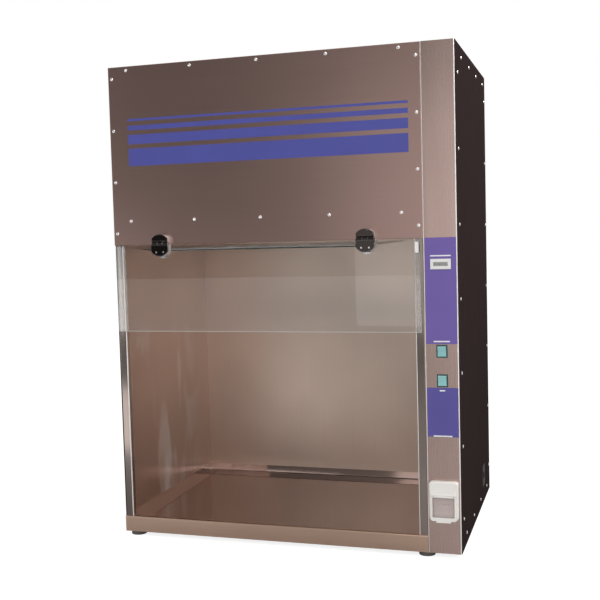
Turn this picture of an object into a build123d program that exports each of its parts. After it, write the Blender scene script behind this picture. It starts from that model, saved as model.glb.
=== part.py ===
from build123d import *
import math
import os

# Cabinet
hood_width = 880.0
hood_depth = 616.0
hood_height = 1200.0
column_width = 80.0
sheet = 1.2
bend_radius = 2.5
side_flange_height = 40.0
corner_gap = 1.0
cut_margin = 1.0
inner_flange_height = 28.0

# Posts, column and chamber walls
post_width = 22.0
post_return = 15.0
post_flange = 50.0
column_flange = 55.0
rear_space = 76.0
wall_bottom = 54.0
wall_return = 20.0

# Worktop tray
lip_height = 40.0
lip_depth = 14.0
tray_drop = 7.0
tray_upstand = 42.0
rail_width = 44.0
rail_foot = 18.0
rail_spacing = 330.0

# Fascia and the ceiling behind it
fascia_height = 452.0
fascia_edge = 0.8
ceiling_rise = 48.0
gasket_width = 24.0
slot_width = 40.0
slot_pitch = 80.0
slot_margin = 60.0

# Rivets
rivet_head_radius = 4.4
rivet_head_height = 1.5
rivet_head_taper = 45.0
rivet_sides = 6
panel_fit = 0.05
fascia_edge_margin = 10.0
fascia_row_inset = 50.0
fascia_column_inset = 30.0
fascia_row_count = 5
fascia_column_count = 4
ceiling_rivet_rise = 13.3
side_rivet_front = 40.0
side_rivet_rear = 20.0
side_rivet_edge = 26.0
side_row_count = 4
side_column_count = 7
side_low_row_ends = (88.0, 78.0)
side_high_row_ends = (107.0, 59.0)
side_column_ends = (74.0, 70.0)

# Sash and its clamp hinges
glass_thickness = 5.0
glass_height = 219.5
glass_left_gap = 2.5
glass_right_gap = 8.0
running_gap = 0.3
sash_gap = 2.0
hinge_spacing = 530.0
hinge_thickness = 18.0
hinge_diameter = 56.0
hinge_upper_width = 44.0
hinge_lower_width = 48.0
hinge_axis_inset = 4.5
hinge_axis_rise = 4.0
hinge_open_angle = 100.0
hinge_edge = 1.2
knuckle_radius = 3.2
knuckle_length = 14.0
pin_radius = 1.6
pin_clearance = 0.05
pin_end_inset = 1.0
pad_thickness = 1.0
pad_size = 20.0
back_plate_thickness = 3.0
back_plate_radius = 15.0
clamp_stud_radius = 2.5
clamp_stud_length = 13.0
clamp_stud_spare = 3.0
clamp_hole_radius = 4.0
clamp_drop = 18.0
magnet_width = 9.0
magnet_height = 25.5
magnet_depth = 6.0
magnet_inset = 2.0
magnet_drop = 6.0

# Labels and hour meter on the column
label_thickness = 0.3
label_width = 73.5
upper_label_bottom = 500.0
upper_label_top = 749.0
lower_label_bottom = 280.0
lower_label_top = 397.0
meter_height = 687.0
meter_bezel_width = 48.0
meter_bezel_height = 24.5
meter_bezel_proud = 2.5
meter_edge = 0.8
meter_body_width = 44.0
meter_body_height = 21.0
meter_body_depth = 32.0
meter_window_width = 34.0
meter_window_height = 9.5
meter_window_depth = 1.0

# Rocker switches
fan_switch_height = 483.0
lamp_switch_height = 413.7
switch_bezel_width = 26.0
switch_bezel_height = 30.0
switch_bezel_proud = 2.2
switch_edge = 0.7
switch_body_width = 22.6
switch_body_height = 27.6
switch_body_depth = 20.0
switch_well_depth = 9.0
rocker_radius = 12.7
rocker_width = 20.0
rocker_crown = 4.0
rocker_back = 3.0
rocker_tilt = 9.0
rocker_pivot_depth = 1.0

# Mains outlet
outlet_width = 68.0
outlet_height = 93.0
outlet_depth = 15.0
outlet_bottom = 83.0
outlet_corner = 8.0
outlet_edge = 2.0
outlet_back = 3.0
well_size = 52.0
well_bottom = 5.0
socket_size = 45.0
socket_thickness = 6.0
socket_hole_radius = 2.4
socket_hole_pitch = 11.0
socket_row_rise = 7.0
lid_width = 60.0
lid_height = 62.0
lid_thickness = 4.5
lid_corner = 5.0
lid_window_width = 52.0
lid_window_height = 48.0
lid_window_rise = 1.5
lid_rabbet = 1.5
lid_pane_thickness = 1.5
lid_barrel_radius = 2.6
lid_axis_rise = 3.0
lid_ear_length = 8.0
lid_ear_root = 2.0
lid_pin_radius = 1.0
latch_width = 34.0
latch_height = 3.2
latch_hook = 8.0
latch_root = 1.0

# Mains inlet on the right side
inlet_plate_depth = 56.0
inlet_plate_height = 58.0
inlet_plate_thickness = 1.5
inlet_corner = 3.0
inlet_center_back = 161.0
inlet_center_height = 77.0
inlet_body_depth = 32.0
inlet_body_height = 26.0
inlet_body_length = 24.0
inlet_well_depth = 25.0
inlet_well_height = 17.0
inlet_well_length = 16.0
inlet_pin_width = 2.0
inlet_pin_height = 4.0
inlet_pin_length = 13.0
inlet_pin_spacing = 7.0
inlet_pin_drop = 1.0
inlet_pin_rise = 3.0

# Feet
foot_height = 12.0
foot_radius = 20.0
foot_inset_left = 27.0
foot_inset_right = 7.0
foot_inset_y = 25.0

# Filters
filter_clearance = 6.0
filter_gasket_height = 10.0
filter_gasket_width = 15.0
filter_height = 70.0
filter_wall = 18.0
prefilter_clearance = 2.0

# Blower
wheel_width = 90.0
wheel_plate = 1.5
wheel_blades = 20
blade_depth = 16.0
blade_thickness = 1.4
blade_sweep = 38.0
blade_tip_inset = 0.8
hub_radius = 16.0
hub_length = 34.0
shaft_radius = 6.0
shaft_clearance = 0.05
shaft_hole_radius = 9.0
scroll_step = 16.0
scroll_cutoff = 18.0
scroll_wall = 1.5
scroll_side_gap = 8.0
scroll_flange = 14.0
outlet_neck = 45.0
blower_clearance = 40.0
inlet_overlap = 6.0
motor_radius = 46.0
motor_length = 78.0
motor_end_wall = 8.0
motor_end_clearance = 2.0

# Exhaust grille
grille_margin = 22.0
grille_corner = 7.0
grille_slot_width = 9.0
grille_slot_pitch = 16.0
grille_slot_margin = 10.0

# Lamp and its gear
batten_width = 56.0
batten_height = 12.0
lamp_setback = 45.0
lamp_end_gap = 67.0
lamp_radius = 13.0
lamp_drop = 29.0
lampholder_thickness = 16.0
lampholder_width = 30.0
lampholder_below = 15.0
lampholder_corner = 10.0
ballast_length = 150.0
ballast_width = 40.0
ballast_thickness = 28.0
ballast_edge = 2.0
ballast_height = 398.0
terminal_length = 70.0
terminal_width = 26.0
terminal_thickness = 18.0
terminal_height = 220.0
terminal_ways = 6

# Main planes of the cabinet: the origin is on the floor under the centre of the whole footprint
lid_projection = outlet_depth + running_gap + max(lid_thickness, 2 * lid_barrel_radius)
front_projection = max(lid_projection, hinge_thickness)
x_left = -hood_width / 2
x_right = hood_width / 2
x_chamber = x_right - column_width
x_middle = (x_left + x_chamber) / 2
x_column = (x_chamber + x_right) / 2
y_front = -(hood_depth - front_projection) / 2
y_back = y_front + hood_depth
y_frame = y_front + glass_thickness + running_gap
z_bottom = foot_height
z_top = z_bottom + hood_height
z_lip = z_bottom + lip_height
z_floor = z_lip - tray_drop
z_wall = z_bottom + wall_bottom
z_fascia = z_top - fascia_height
z_ceiling = z_fascia + ceiling_rise
y_rear_wall = y_back - rear_space
y_flange = y_front + column_flange + corner_gap
chamber_left = x_left + post_width
chamber_right = x_chamber - post_width
os.makedirs("parts", exist_ok=True)


def front_plane(y):
    """A plane facing the user at depth y: what is extruded from it comes forward."""
    return Plane.XZ.offset(-y)


def facing_user(x, y, z):
    """The same plane with its origin at a point."""
    return front_plane(y).shift_origin((x, y, z))


def facing_right(x, y, z):
    """A plane across the cabinet with its origin at a point: what is extruded from it goes right."""
    return Plane.YZ.offset(x).shift_origin((x, y, z))


def slab(x, y, z):
    """A rectangular block between the low and high values of each axis."""
    with BuildPart() as block:
        with BuildSketch(Plane.XY.offset(z[0])):
            with Locations(((x[0] + x[1]) / 2, (y[0] + y[1]) / 2)):
                Rectangle(x[1] - x[0], y[1] - y[0])
        extrude(amount=z[1] - z[0])
    return block.part


def folded_sheet(plane, corners, length, inside=Side.LEFT, sharp=False):
    """A sheet folded along the corners of its outer line, of the given length along the folds."""
    with BuildPart() as folded:
        with BuildSketch(plane):
            with BuildLine():
                if sharp:
                    Polyline(*corners)
                else:
                    FilletPolyline(*corners, radius=bend_radius)
                offset(amount=sheet, side=inside)
            make_face()
        extrude(amount=length)
    return folded.part


def disc(plane, radius, length, hole=0.0):
    """A round boss or ring standing on the plane."""
    with BuildPart() as turned:
        with BuildSketch(plane):
            Circle(radius)
            if hole > 0:
                Circle(hole, mode=Mode.SUBTRACT)
        extrude(amount=length)
    return turned.part


def rivet_head(plane):
    """The low, faceted head of a blind rivet, seated on the plane."""
    with BuildPart() as head:
        with BuildSketch(plane):
            RegularPolygon(rivet_head_radius, rivet_sides)
        extrude(amount=rivet_head_height, taper=rivet_head_taper)
    return head.part


def spread(low, high, count):
    """Evenly spaced positions from low to high, both included."""
    return [low + (high - low) * i / (count - 1) for i in range(count)]


def finish(part, name):
    """Label the piece and write it out."""
    part.label = name
    export_step(part, "parts/" + name + ".step")


# Fascia: a shallow pan screwed and riveted over the filter compartment
fascia_top_row = z_top - fascia_edge_margin
fascia_bottom_row = z_ceiling + ceiling_rivet_rise
fascia_row_x = spread(x_left + fascia_row_inset, x_chamber - fascia_row_inset, fascia_row_count)
fascia_column_z = spread(z_fascia + fascia_column_inset, z_top - fascia_column_inset, fascia_column_count)
fascia_points = [(x, z) for x in fascia_row_x for z in (fascia_top_row, fascia_bottom_row)]
fascia_points += [
    (x, z) for x in (x_left + fascia_edge_margin, x_chamber - fascia_edge_margin) for z in fascia_column_z
]
fascia_depth = y_frame - y_front

with BuildPart() as fascia_panel:
    with BuildSketch(front_plane(y_frame)):
        with Locations((x_middle, (z_fascia + z_top) / 2)):
            Rectangle(x_chamber - x_left, z_top - z_fascia)
    extrude(amount=fascia_depth)
    chamfer(fascia_panel.faces().sort_by(Axis.Y)[0].edges(), length=fascia_edge)
    with BuildSketch(front_plane(y_frame)):
        with Locations((x_middle, (z_fascia + z_top) / 2)):
            Rectangle(x_chamber - x_left - 2 * sheet, z_top - z_fascia - 2 * sheet)
    extrude(amount=fascia_depth - sheet, mode=Mode.SUBTRACT)
finish(fascia_panel.part, "fascia_panel")

# Fascia gasket: a sealing strip between the pan and the frame behind it
gasket_span = x_chamber - x_left - 2 * sheet
gasket_rail = z_ceiling - sheet
window_low = gasket_rail + gasket_width
window_high = z_top - sheet - gasket_width
skirt_low = z_fascia + sheet
with BuildPart() as fascia_gasket:
    with BuildSketch(front_plane(y_frame)):
        with Locations((x_middle, (skirt_low + z_top - sheet) / 2)):
            Rectangle(gasket_span, z_top - sheet - skirt_low)
        with Locations((x_middle, (window_low + window_high) / 2)):
            Rectangle(gasket_span - 2 * gasket_width, window_high - window_low, mode=Mode.SUBTRACT)
        with Locations((x_middle, (skirt_low + gasket_rail) / 2)):
            Rectangle(gasket_span - 2 * gasket_width, gasket_rail - skirt_low, mode=Mode.SUBTRACT)
    extrude(amount=fascia_depth - sheet)
finish(fascia_gasket.part, "fascia_gasket")

with BuildPart() as fascia_rivets:
    for x, z in fascia_points:
        add(rivet_head(facing_user(x, y_front, z)))
finish(fascia_rivets.part, "fascia_rivets")

# Side rivets: the same points on both sides, through the panels into the flanges behind them
low_row_y = spread(y_front + side_low_row_ends[0], y_back - side_low_row_ends[1], side_row_count)
high_row_y = spread(y_front + side_high_row_ends[0], y_back - side_high_row_ends[1], side_row_count)
side_column_z = spread(z_bottom + side_column_ends[0], z_top - side_column_ends[1], side_column_count)
side_points = [(y, z_bottom + side_rivet_edge) for y in low_row_y]
side_points += [(y, z_top - side_rivet_edge) for y in high_row_y]
side_points += [(y_front + side_rivet_front, z) for z in side_column_z]
side_points += [(y_back - side_rivet_rear, z) for z in side_column_z]

with BuildPart() as side_rivets:
    for y, z in side_points:
        add(rivet_head(facing_right(x_right, y, z)))
        add(rivet_head(-facing_right(x_left, y, z)))
finish(side_rivets.part, "side_rivets")

# Posts: two folded channels, the fascia and the chamber walls hang on them


def post(outer_x, inner_x):
    """One channel, its flange on the outer side and its return at the chamber."""
    facing = Side.LEFT if inner_x > outer_x else Side.RIGHT
    corners = [
        (outer_x, y_frame + post_flange),
        (outer_x, y_frame),
        (inner_x, y_frame),
        (inner_x, y_frame + post_return),
    ]
    return folded_sheet(Plane.XY.offset(z_lip), corners, z_top - sheet - z_lip, facing)


finish(post(x_left + sheet, chamber_left), "left_post")
finish(post(x_chamber, chamber_right), "right_post")

# Control column: a deep folded channel, full height, with cut-outs for the controls
switch_heights = (z_bottom + fan_switch_height, z_bottom + lamp_switch_height)
z_meter = z_bottom + meter_height
z_outlet = z_bottom + outlet_bottom + outlet_height / 2
column_corners = [
    (x_chamber, y_front + column_flange),
    (x_chamber, y_front),
    (x_right - sheet, y_front),
    (x_right - sheet, y_front + column_flange),
]
column_channel = folded_sheet(Plane.XY.offset(z_bottom), column_corners, hood_height)
column_inner = (x_chamber, x_right - sheet)
top_notch = slab(column_inner, (y_front + sheet, y_flange), (z_top - sheet, z_top))
bottom_notch = slab(column_inner, (y_front + sheet, y_flange), (z_bottom, z_bottom + sheet))
top_return = slab(
    (x_chamber + bend_radius, x_right - sheet - bend_radius),
    (y_front + sheet, y_frame),
    (z_top - sheet, z_top),
)
with BuildPart() as control_column:
    add(column_channel)
    add([top_notch, bottom_notch], mode=Mode.SUBTRACT)
    add(top_return)
    with BuildSketch(front_plane(y_front + sheet)):
        with Locations((x_column, z_meter)):
            Rectangle(meter_body_width + 2 * panel_fit, meter_body_height + 2 * panel_fit)
        with Locations(*[(x_column, z) for z in switch_heights]):
            Rectangle(switch_body_width + 2 * panel_fit, switch_body_height + 2 * panel_fit)
    extrude(amount=sheet, mode=Mode.SUBTRACT)
finish(control_column.part, "control_column")

# Chamber walls: plain sheets between the posts and the rear panel
wall_front = y_frame + post_return
wall_top = z_ceiling + side_flange_height
for wall_name, wall_x in (
    ("left_chamber_wall", (chamber_left - sheet, chamber_left)),
    ("right_chamber_wall", (chamber_right, chamber_right + sheet)),
):
    finish(slab(wall_x, (wall_front, y_back - 2 * sheet), (z_wall, wall_top)), wall_name)

# Rear chamber wall: stands off the rear panel, its lower edge over the tray's rear upstand
rear_wall_corners = [
    (chamber_left, y_rear_wall + wall_return),
    (chamber_left, y_rear_wall),
    (chamber_right, y_rear_wall),
    (chamber_right, y_rear_wall + wall_return),
]
rear_chamber_wall = folded_sheet(
    Plane.XY.offset(z_wall), rear_wall_corners, z_ceiling - z_wall, sharp=True
)
finish(rear_chamber_wall, "rear_chamber_wall")

# Ceiling: a pan between the walls, slotted for the air
pan_front = y_frame
pan_back = y_back - sheet
ceiling_top = z_ceiling + sheet
flange_top = z_ceiling + side_flange_height
slot_length = y_rear_wall - slot_margin - (y_frame + slot_margin + batten_width)
slot_middle = (y_rear_wall - slot_margin + y_frame + slot_margin + batten_width) / 2
slot_count = int((chamber_right - chamber_left - 2 * slot_margin - slot_width) / slot_pitch) + 1
ceiling_parts = [
    slab((chamber_left, chamber_right), (pan_front, pan_back), (z_ceiling, ceiling_top)),
    slab((chamber_left, chamber_right), (pan_front, pan_front + sheet), (z_ceiling, flange_top)),
    slab((chamber_left, chamber_right), (pan_back - sheet, pan_back), (z_ceiling, flange_top)),
    slab((chamber_left, chamber_left + sheet), (pan_front, pan_back), (z_ceiling, flange_top)),
    slab((chamber_right - sheet, chamber_right), (pan_front, pan_back), (z_ceiling, flange_top)),
]
with BuildPart() as ceiling_panel:
    add(ceiling_parts)
    with BuildSketch(Plane.XY.offset(z_ceiling)):
        with Locations((x_middle, slot_middle)):
            with GridLocations(slot_pitch, 1, slot_count, 1):
                Rectangle(slot_width, slot_length)
    extrude(amount=sheet, mode=Mode.SUBTRACT)
finish(ceiling_panel.part, "ceiling_panel")

# Worktop tray: one folded sheet, its front lip is the apron under the opening
tray_side_left = (chamber_left - 2 * sheet, chamber_left - sheet)
tray_side_right = (chamber_right + sheet, chamber_right + 2 * sheet)
lip_corners = [
    (y_front, z_bottom),
    (y_front, z_lip),
    (y_front + lip_depth, z_lip),
    (y_front + lip_depth, z_floor),
    (y_front + 2 * lip_depth, z_floor),
]
tray_back = y_rear_wall + 2 * sheet
tray_corners = lip_corners[:4] + [(tray_back, z_floor), (tray_back, z_wall)]
lip = folded_sheet(
    Plane.YZ.offset(x_left + sheet), lip_corners, x_chamber - running_gap - x_left - sheet, Side.RIGHT
)
floor = folded_sheet(
    Plane.YZ.offset(tray_side_left[0]), tray_corners, tray_side_right[1] - tray_side_left[0], Side.RIGHT
)
upstand_z = (z_floor - sheet, z_floor + tray_upstand)
tray_upstands = [
    slab(side, (y_front + lip_depth, tray_back), upstand_z)
    for side in (tray_side_left, tray_side_right)
]
with BuildPart() as worktop_tray:
    add([lip, floor])
    add(tray_upstands)
finish(worktop_tray.part, "worktop_tray")

# Rails: hat sections that carry the tray floor on the base
rail_low = z_bottom + sheet
rail_high = z_floor - sheet
rail_corners = [
    (-rail_width / 2 - rail_foot, rail_low + sheet),
    (-rail_width / 2, rail_low + sheet),
    (-rail_width / 2, rail_high),
    (rail_width / 2, rail_high),
    (rail_width / 2, rail_low + sheet),
    (rail_width / 2 + rail_foot, rail_low + sheet),
]
rail_length = chamber_right - chamber_left
rail = folded_sheet(Plane.YZ.offset(chamber_left), rail_corners, rail_length, Side.RIGHT, sharp=True)
with BuildPart() as tray_rails:
    with Locations((0, (y_front + tray_back) / 2)):
        with GridLocations(1, rail_spacing, 1, 2):
            add(rail)
finish(tray_rails.part, "tray_rails")

# Base: a pan with its flanges turned up inside the panels
skin_left = x_left + sheet
skin_right = x_right - sheet
base_parts = [
    slab((skin_left, skin_right), (y_front + sheet, y_back - sheet), (z_bottom, z_bottom + sheet)),
    slab(
        (skin_left + bend_radius, x_chamber - bend_radius),
        (y_front + sheet, y_front + 2 * sheet),
        (z_bottom, z_bottom + inner_flange_height),
    ),
    slab(
        (skin_left, skin_right),
        (y_back - 2 * sheet, y_back - sheet),
        (z_bottom, z_bottom + inner_flange_height),
    ),
    slab(
        (skin_left, skin_left + sheet),
        (y_flange, y_back - sheet),
        (z_bottom, z_bottom + side_flange_height),
    ),
    slab(
        (skin_right - sheet, skin_right),
        (y_flange, y_back - sheet),
        (z_bottom, z_bottom + side_flange_height),
    ),
]
with BuildPart() as base_panel:
    add(base_parts)
finish(base_panel.part, "base_panel")

# Blower outline, looking along the shaft: three growing arcs and a straight outlet
scroll_half_step = scroll_step / 2
filter_top = z_ceiling + sheet + filter_gasket_height + filter_height
blower_room = z_top - sheet - filter_top - blower_clearance
scroll_start_radius = (blower_room - outlet_neck - scroll_step - scroll_half_step) / 2
blower_drop = scroll_start_radius + outlet_neck
wheel_radius = scroll_start_radius - scroll_cutoff
wheel_inner_radius = wheel_radius - blade_depth
blower_inlet_radius = wheel_inner_radius - inlet_overlap
blower_y = (y_frame + y_back) / 2
blower_z = z_top - sheet - blower_drop
scroll_width = wheel_width + 2 * scroll_side_gap
scroll_x = (x_middle - scroll_width / 2, x_middle + scroll_width / 2)


def scroll_face(shrink, top):
    """The outline of the blower casing, moved in by a wall where shrink is set."""
    first = (scroll_half_step, -scroll_half_step)
    second = (-scroll_half_step, -scroll_half_step)
    third = (-scroll_half_step, scroll_half_step)
    radius = scroll_start_radius - shrink
    left_edge = third[0] - radius - 2 * scroll_step
    tongue_top = first[1] + radius
    with BuildSketch() as outline:
        with BuildLine():
            CenterArc(first, radius, 90, -90)
            CenterArc(second, radius + scroll_step, 0, -90)
            CenterArc(third, radius + 2 * scroll_step, -90, -90)
            Polyline(
                (left_edge, third[1]),
                (left_edge, top),
                (first[0] - shrink, top),
                (first[0] - shrink, tongue_top),
                (first[0], tongue_top),
            ) if shrink > 0 else Polyline(
                (left_edge, third[1]), (left_edge, top), (first[0], top), (first[0], tongue_top)
            )
        make_face()
    return outline.sketch


blower_plane = facing_right(scroll_x[0], blower_y, blower_z)
inner_plane = blower_plane.offset(scroll_wall)
casing_solid = extrude(blower_plane * scroll_face(0, blower_drop), amount=scroll_width)
casing_air = extrude(
    inner_plane * scroll_face(scroll_wall, blower_drop + scroll_wall), amount=scroll_width - 2 * scroll_wall
)
outlet_y = (
    blower_y - scroll_half_step - scroll_start_radius - 2 * scroll_step,
    blower_y + scroll_half_step,
)
outlet_inner_y = (outlet_y[0] + scroll_wall, outlet_y[1] - scroll_wall)
outlet_inner_x = (scroll_x[0] + scroll_wall, scroll_x[1] - scroll_wall)
casing_flange = slab(
    (scroll_x[0] - scroll_flange, scroll_x[1] + scroll_flange),
    (outlet_y[0] - scroll_flange, outlet_y[1] + scroll_flange),
    (z_top - sheet - scroll_wall, z_top - sheet),
)
inlet_hole = disc(blower_plane, blower_inlet_radius, 2 * scroll_wall)
shaft_hole = disc(blower_plane.offset(scroll_width - 2 * scroll_wall), shaft_hole_radius, 3 * scroll_wall)
with BuildPart() as blower_housing:
    add(casing_solid)
    add(casing_flange)
    add([casing_air, inlet_hole, shaft_hole], mode=Mode.SUBTRACT)
finish(blower_housing.part, "blower_housing")

# Blower wheel: hub and back disc, forward-swept blades, and the ring that ties their tips
wheel_x = (x_middle - wheel_width / 2, x_middle + wheel_width / 2)
wheel_plane = facing_right(wheel_x[0], blower_y, blower_z)
blade_mid_radius = (wheel_inner_radius + wheel_radius) / 2
blade_length = (wheel_radius - wheel_inner_radius) / math.cos(math.radians(blade_sweep))
tie_ring = disc(wheel_plane, wheel_radius, wheel_plate, hole=wheel_inner_radius)
back_disc = disc(wheel_plane.offset(wheel_width - wheel_plate), wheel_radius, wheel_plate)
hub = disc(wheel_plane.offset(wheel_width - hub_length), hub_radius, hub_length)
shaft_bore = disc(wheel_plane, shaft_radius + shaft_clearance, wheel_width)
with BuildPart() as blower_wheel:
    add([tie_ring, back_disc, hub])
    with BuildSketch(wheel_plane.offset(wheel_plate)):
        with PolarLocations(blade_mid_radius, wheel_blades):
            Rectangle(blade_length - blade_tip_inset, blade_thickness, rotation=blade_sweep)
    extrude(amount=wheel_width - 2 * wheel_plate)
    add(shaft_bore, mode=Mode.SUBTRACT)
finish(blower_wheel.part, "blower_wheel")

# Motor: a round body on the outer side of the casing, its shaft through the casing's side
motor_plane = facing_right(scroll_x[1], blower_y, blower_z)
motor_bore = motor_length - motor_end_wall
with BuildPart() as motor:
    with BuildSketch(motor_plane):
        Circle(motor_radius)
    extrude(amount=motor_length)
    with BuildSketch(motor_plane):
        Circle(shaft_radius + shaft_clearance)
    extrude(amount=motor_bore, mode=Mode.SUBTRACT)
finish(motor.part, "motor")

shaft_start = wheel_x[1] - hub_length
shaft_end = scroll_x[1] + motor_bore - motor_end_clearance
shaft_plane = facing_right(shaft_start, blower_y, blower_z)
motor_shaft = disc(shaft_plane, shaft_radius, shaft_end - shaft_start)
finish(motor_shaft, "motor_shaft")

# Top: a pan with its flanges turned down inside the panels, open over the blower outlet
top_parts = [
    slab((skin_left, skin_right), (y_frame, y_back - sheet), (z_top - sheet, z_top)),
    slab(
        (chamber_left, chamber_right),
        (y_frame, y_frame + sheet),
        (z_top - side_flange_height, z_top),
    ),
    slab(
        (skin_left, skin_right),
        (y_back - 2 * sheet, y_back - sheet),
        (z_top - inner_flange_height, z_top),
    ),
    slab((skin_left, skin_left + sheet), (y_flange, y_back - sheet), (z_top - side_flange_height, z_top)),
    slab((skin_right - sheet, skin_right), (y_flange, y_back - sheet), (z_top - side_flange_height, z_top)),
]
exhaust_hole = slab(outlet_inner_x, outlet_inner_y, (z_top - 2 * sheet, z_top + sheet))
with BuildPart() as top_panel:
    add(top_parts)
    add(exhaust_hole, mode=Mode.SUBTRACT)
finish(top_panel.part, "top_panel")

# Exhaust grille: a slotted plate over the outlet
outlet_center_y = (outlet_y[0] + outlet_y[1]) / 2
outlet_span = outlet_y[1] - outlet_y[0]
grille_slots = int((outlet_span - 2 * grille_slot_margin - grille_slot_width) / grille_slot_pitch) + 1
with BuildPart() as exhaust_grille:
    with BuildSketch(Plane.XY.offset(z_top)):
        with Locations((x_middle, outlet_center_y)):
            Rectangle(scroll_width + 2 * grille_margin, outlet_span + 2 * grille_margin)
            with GridLocations(1, grille_slot_pitch, 1, grille_slots):
                Rectangle(scroll_width - 2 * grille_slot_margin, grille_slot_width, mode=Mode.SUBTRACT)
    extrude(amount=2 * sheet)
    chamfer(exhaust_grille.edges().filter_by(Axis.Z).group_by(Axis.X)[0], length=grille_corner)
    chamfer(exhaust_grille.edges().filter_by(Axis.Z).group_by(Axis.X)[-1], length=grille_corner)
finish(exhaust_grille.part, "exhaust_grille")

# Rear panel: full height, its flanges folded forward between the base and the top
rear_corners = [
    (skin_left, y_back - side_flange_height),
    (skin_left, y_back),
    (skin_right, y_back),
    (skin_right, y_back - side_flange_height),
]
rear_fold_low = z_bottom + side_flange_height + corner_gap
rear_fold_high = z_top - side_flange_height - corner_gap
rear_fold = folded_sheet(
    Plane.XY.offset(rear_fold_low), rear_corners, rear_fold_high - rear_fold_low, Side.RIGHT
)
rear_sheet = slab(
    (skin_left + bend_radius, skin_right - bend_radius), (y_back - sheet, y_back), (z_bottom, z_top)
)
with BuildPart() as rear_panel:
    add(rear_fold)
    add(rear_sheet)
finish(rear_panel.part, "rear_panel")

# Side panels: painted sheets riveted to the flanges behind them
inlet_y = y_back - inlet_center_back
inlet_z = z_bottom + inlet_center_height
inlet_body_opening = slab(
    (skin_right, x_right),
    (inlet_y - inlet_body_depth / 2 - panel_fit, inlet_y + inlet_body_depth / 2 + panel_fit),
    (inlet_z - inlet_body_height / 2 - panel_fit, inlet_z + inlet_body_height / 2 + panel_fit),
)
with BuildPart() as right_side_panel:
    add(slab((skin_right, x_right), (y_front + bend_radius, y_back), (z_bottom, z_top)))
    add(inlet_body_opening, mode=Mode.SUBTRACT)
finish(right_side_panel.part, "right_side_panel")

left_front_corner = slab((x_left, skin_left), (y_front, y_frame), (z_lip, z_top))
with BuildPart() as left_side_panel:
    add(slab((x_left, skin_left), (y_front + bend_radius, y_back), (z_bottom, z_top)))
    add(left_front_corner, mode=Mode.SUBTRACT)
finish(left_side_panel.part, "left_side_panel")

# Feet: round moulded pads
foot_x = (x_left + foot_inset_left, x_chamber - foot_inset_right)
foot_y = (y_front + foot_inset_y, y_back - foot_inset_y)
with BuildPart() as feet:
    with Locations(*[(x, y) for x in foot_x for y in foot_y]):
        add(disc(Plane.XY, foot_radius, foot_height))
finish(feet.part, "feet")

# Sash: one sheet of toughened glass with polished edges, drilled for its two hinges
glass_x = (x_left + glass_left_gap, x_chamber - glass_right_gap)
glass_top = z_fascia - sash_gap
hinge_x = (x_middle - hinge_spacing / 2, x_middle + hinge_spacing / 2)
hinge_z = z_fascia + hinge_axis_rise
hinge_y = y_front - hinge_thickness + hinge_axis_inset
disc_z = glass_top
clamp_z = glass_top - clamp_drop
with BuildPart() as sash_glass:
    with BuildSketch(front_plane(y_front + glass_thickness)):
        with Locations(((glass_x[0] + glass_x[1]) / 2, glass_top - glass_height / 2)):
            Rectangle(glass_x[1] - glass_x[0], glass_height)
        with Locations(*[(x, clamp_z) for x in hinge_x]):
            Circle(clamp_hole_radius, mode=Mode.SUBTRACT)
    extrude(amount=glass_thickness)
finish(sash_glass.part, "sash_glass")


def leaf_blank(x, width, back_y, low, high):
    """A clipped round block in front of the panel, between two heights."""
    with BuildPart() as blank:
        with BuildSketch(front_plane(back_y)):
            with Locations((x, disc_z)):
                Circle(hinge_diameter / 2)
                Rectangle(width, hinge_diameter, mode=Mode.INTERSECT)
            with Locations((x, (low + high) / 2)):
                Rectangle(width, high - low, mode=Mode.INTERSECT)
        extrude(amount=back_y - (y_front - hinge_thickness))
        chamfer(blank.faces().sort_by(Axis.Y)[0].edges(), length=hinge_edge)
    return blank.part


def groove(x, width, up):
    """The sloped relief in front of the pin, on the upper or the lower leaf."""
    half_open = math.tan(math.radians(hinge_open_angle / 2))
    reach = hinge_axis_inset + cut_margin
    with BuildPart() as relief:
        with BuildSketch(Plane.YZ.offset(x - width / 2)):
            with BuildLine():
                Polyline(
                    (hinge_y, hinge_z),
                    (hinge_y - reach, hinge_z + up * reach * half_open),
                    (hinge_y - reach, hinge_z),
                    close=True,
                )
            make_face()
        extrude(amount=width)
    return relief.part


def barrels(x, radius, spans):
    """Round knuckles on the pin's line over the given spans."""
    pieces = []
    for low, high in spans:
        pieces.append(disc(facing_right(x + low, hinge_y, hinge_z), radius, high - low))
    return pieces


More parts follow.
